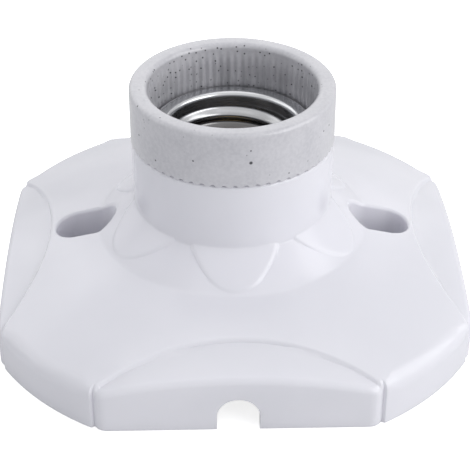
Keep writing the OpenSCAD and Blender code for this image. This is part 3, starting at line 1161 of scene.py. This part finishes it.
@dataclass(frozen=True)
class Studio:
    """Two strong softboxes on the right, four weak ones, a camera and a white background."""

    azimuth_deg: float = -1.5504
    elevation_deg: float = 34.0755
    distance_mm: float = 323.9967
    focal_px: float = 1504.3066
    target_mm: tuple[float, float, float] = (0.5418, -0.1743, 13.0335)
    roll_deg: float = 0.1038
    picture_px: float = 470.0
    sensor_mm: float = 36.0
    boxes: tuple[Softbox, ...] = (
        Softbox("key_right", (0.66, -0.08, 0.40), (0.4, 0.6), 1.26),
        Softbox("key_front", (0.55, -0.45, 0.35), (0.4, 0.6), 1.80),
        Softbox("fill_left", (-0.66, 0.05, 0.36), (0.4, 0.6), 0.53),
        Softbox("fill_back", (-0.50, 0.50, 0.45), (0.5, 0.5), 0.53),
        Softbox("back", (0.0, 0.70, 0.50), (0.8, 0.5), 0.66),
        Softbox("top", (0.0, 0.0, 0.80), (0.6, 0.6), 0.63))
    soft_colour: Rgb = (0.95, 0.97, 1.0)
    soft_strength: float = 0.54
    floor_colour: Rgb = (0.8, 0.8, 0.8)
    floor_glow: float = 0.80
    floor_r: float = 1.5
    floor_z: float = -0.0002
    floor_sides: int = 96

    def camera(self) -> None:
        """Puts the camera on its sphere round the target, with the roll about its own axis."""
        a, e = math.radians(self.azimuth_deg), math.radians(self.elevation_deg)
        roll = math.radians(self.roll_deg)
        back = Vector((math.sin(a) * math.cos(e), -math.cos(a) * math.cos(e), math.sin(e)))
        right = Vector((math.cos(a), math.sin(a), 0.0))
        up = back.cross(right)
        x = math.cos(roll) * right + math.sin(roll) * up
        y = -math.sin(roll) * right + math.cos(roll) * up
        eye = (Vector(self.target_mm) + back * self.distance_mm) * MM
        lens = bpy.data.cameras.new("camera")
        lens.sensor_fit = "HORIZONTAL"
        lens.sensor_width = self.sensor_mm
        lens.lens = self.focal_px / self.picture_px * self.sensor_mm
        lens.clip_start, lens.clip_end = 0.01, 20.0
        body = bpy.data.objects.new("camera", lens)
        columns = [(*axis, 0.0) for axis in (x, y, back)] + [(*eye, 1.0)]
        body.matrix_world = Matrix(columns).transposed()
        bpy.context.scene.collection.objects.link(body)
        bpy.context.scene.camera = body

    def world(self) -> None:
        """White to the camera and in reflections, and a soft grey light on everything else."""
        world = bpy.data.worlds.new("studio")
        bpy.context.scene.world = world
        world.use_nodes = True
        g = Graph(world.node_tree)
        g.tree.nodes.clear()
        path = g.add("LightPath").outputs
        clear = g.math("MAXIMUM", path["Is Glossy Ray"], path["Is Transmission Ray"])
        seen = g.math("MAXIMUM", path["Is Camera Ray"], clear)
        grey = {"Color": rgba(self.soft_colour), "Strength": self.soft_strength}
        soft = g.add("Background", grey).outputs[0]
        white = g.add("Background", {"Color": WHITE, "Strength": 1.0}).outputs[0]
        g.add("OutputWorld", {"Surface": g.blend(seen, soft, white)})

    def floor(self) -> None:
        """A pale round floor that shows white and keeps a soft shadow."""
        a = np.linspace(0, FULL_TURN, self.floor_sides, endpoint=False)
        mesh = bpy.data.meshes.new("floor")
        points = revolved([(self.floor_r, self.floor_z)], a)[0]
        mesh.from_pydata(points.tolist(), [], [tuple(range(self.floor_sides))])
        body = bpy.data.objects.new("floor", mesh)
        bpy.context.scene.collection.objects.link(body)
        n = Nodes("studio_floor")
        n.shade(Base_Color=rgba(self.floor_colour), Roughness=0.7, Specular_IOR_Level=0.0)
        plain = n.shader.outputs[0]
        glow = n.add("Emission", {"Color": WHITE, "Strength": self.floor_glow})
        lit = n.add("AddShader", {0: plain, 1: glow.outputs[0]}).outputs[0]
        seen = n.add("LightPath").outputs["Is Camera Ray"]
        n.put(n.tree.nodes["Material Output"].inputs["Surface"], n.blend(seen, plain, lit))
        mesh.materials.append(n.material)

    def build(self) -> None:
        """Sets up the whole studio."""
        self.camera()
        for box in self.boxes:
            box.build()
        self.world()
        self.floor()
        bpy.context.scene.view_settings.view_transform = "Standard"


def main() -> None:
    """Builds every piece, dresses the CAD nodes and sets up the studio."""
    logging.basicConfig(level=logging.INFO, format="%(name)s: %(message)s")
    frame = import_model()
    plastic = GlossyMoulding().material()
    porcelain = GlazedPorcelain().material()
    sheet = RolledSheet().material()
    brass = PlainBrass().material()
    zinc = ZincPlate().material()

    Studio().build()
    log.info("studio: camera, lights, floor and background")

    for piece, material, node, slot in (
        (Housing().build(), plastic, "base_housing", "housing_plastic"),
        (PorcelainRing().build(), porcelain, "porcelain_ring", "porcelain"),
        (ScrewShell().build(), sheet, "screw_shell", "shell_metal"),
    ):
        dress(piece, material)
        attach(piece, "base")
        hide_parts(node)
        log.info("%s: %d faces, stands for %s", piece.name, len(piece.data.polygons), node)

    finishes = {"porcelain_insert": porcelain, "centre_contact": brass, "centre_rivet": brass,
                "shell_rivet_left": brass, "shell_rivet_right": brass, "live_terminal": brass,
                "neutral_terminal": brass, "live_clamp_screw": zinc, "neutral_clamp_screw": zinc,
                "live_clamp_washer": zinc, "neutral_clamp_washer": zinc}
    for node, material in finishes.items():
        dress(frame["nodes"][node], material)
        log.info("%s: CAD node with %s", node, material.name)


if __name__ == "__main__":
    main()
